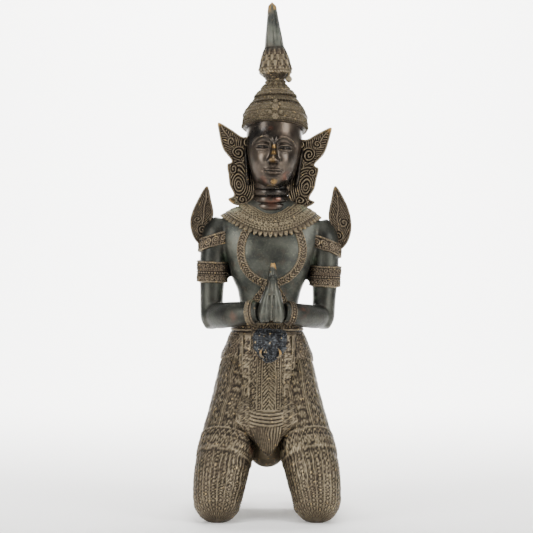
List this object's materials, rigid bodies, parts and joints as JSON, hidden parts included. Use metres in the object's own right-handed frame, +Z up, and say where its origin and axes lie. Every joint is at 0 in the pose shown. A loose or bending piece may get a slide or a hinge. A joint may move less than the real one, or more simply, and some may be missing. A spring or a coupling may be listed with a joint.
{
  "type": "temple guardian statue",
  "caption": "Kneeling temple guardian in dark cast bronze, palms pressed together, with a tall tiered crown, ear wings, shoulder flames and a patterned waistcloth.",
  "frame": {"origin": "middle of the figure's footprint box, on the ground under the knees and toes", "axes": "+Z up, the figure faces -Y, its own left hand is at +X"},
  "size_m": [0.16, 0.1748, 0.5],
  "materials": {
    "dark_bronze": "aged cast bronze, dark brown-black, satin on the bare skin, rough in the ornament, worn to a brassy brown on raised edges"
  },
  "bodies": {
    "root": {"guardian_figure": "dark_bronze"}
  },
  "joints": []
}
